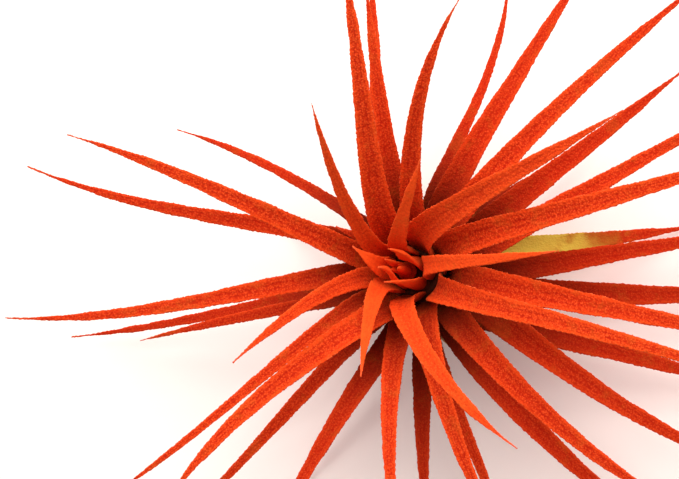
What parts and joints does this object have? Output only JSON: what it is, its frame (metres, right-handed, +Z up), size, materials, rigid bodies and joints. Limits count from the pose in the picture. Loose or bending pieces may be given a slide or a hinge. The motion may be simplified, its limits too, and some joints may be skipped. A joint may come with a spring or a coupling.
{
  "type": "air plant",
  "caption": "Small air plant with a spreading rosette of narrow, tapering orange-red leaves, furry with fine scales, on a short stem with wiry roots.",
  "frame": {"origin": "middle of the stem's flat foot, on the surface that the plant rests on", "axes": "+Z up along the stem, +X towards the longest leaves on the right of the picture, +Y towards the top of the picture"},
  "size_m": [0.1202, 0.089, 0.05],
  "materials": {
    "leaf": "matt living leaf, dyed orange-red, covered in fine raised scales that scatter light",
    "dry_leaf": "dull, dry brown old leaf with a papery face",
    "stem": "rough brown stem under old leaf bases, with thin wiry roots"
  },
  "bodies": {
    "root": {"stem": "stem", "heart": "leaf", "leaf_01": "leaf", "leaf_02": "leaf", "leaf_03": "leaf", "leaf_04": "leaf", "leaf_05": "leaf", "leaf_06": "leaf", "leaf_07": "leaf", "leaf_08": "leaf", "leaf_09": "leaf", "leaf_10": "leaf", "leaf_11": "leaf", "leaf_12": "leaf", "leaf_13": "leaf", "leaf_14": "leaf", "leaf_15": "leaf", "leaf_16": "leaf", "leaf_17": "leaf", "leaf_18": "leaf", "leaf_19": "leaf", "leaf_20": "leaf", "leaf_21": "leaf", "leaf_22": "leaf", "leaf_23": "leaf", "leaf_24": "leaf", "leaf_25": "leaf", "leaf_26": "leaf", "leaf_27": "leaf", "leaf_28": "leaf", "leaf_29": "leaf", "leaf_30": "leaf", "leaf_31": "leaf", "leaf_32": "leaf", "leaf_33": "leaf", "leaf_34": "leaf", "leaf_35": "leaf", "leaf_36": "leaf", "leaf_37": "leaf", "leaf_38": "leaf", "leaf_39": "leaf", "leaf_40": "leaf", "leaf_41": "leaf", "leaf_42": "leaf", "leaf_43": "leaf", "leaf_44": "leaf", "leaf_45": "leaf", "leaf_46": "leaf", "leaf_47": "leaf", "leaf_48": "leaf", "leaf_49": "leaf", "leaf_50": "leaf", "leaf_51": "leaf", "dry_leaf_1": "dry_leaf", "dry_leaf_2": "dry_leaf", "dry_leaf_3": "dry_leaf"}
  },
  "joints": []
}
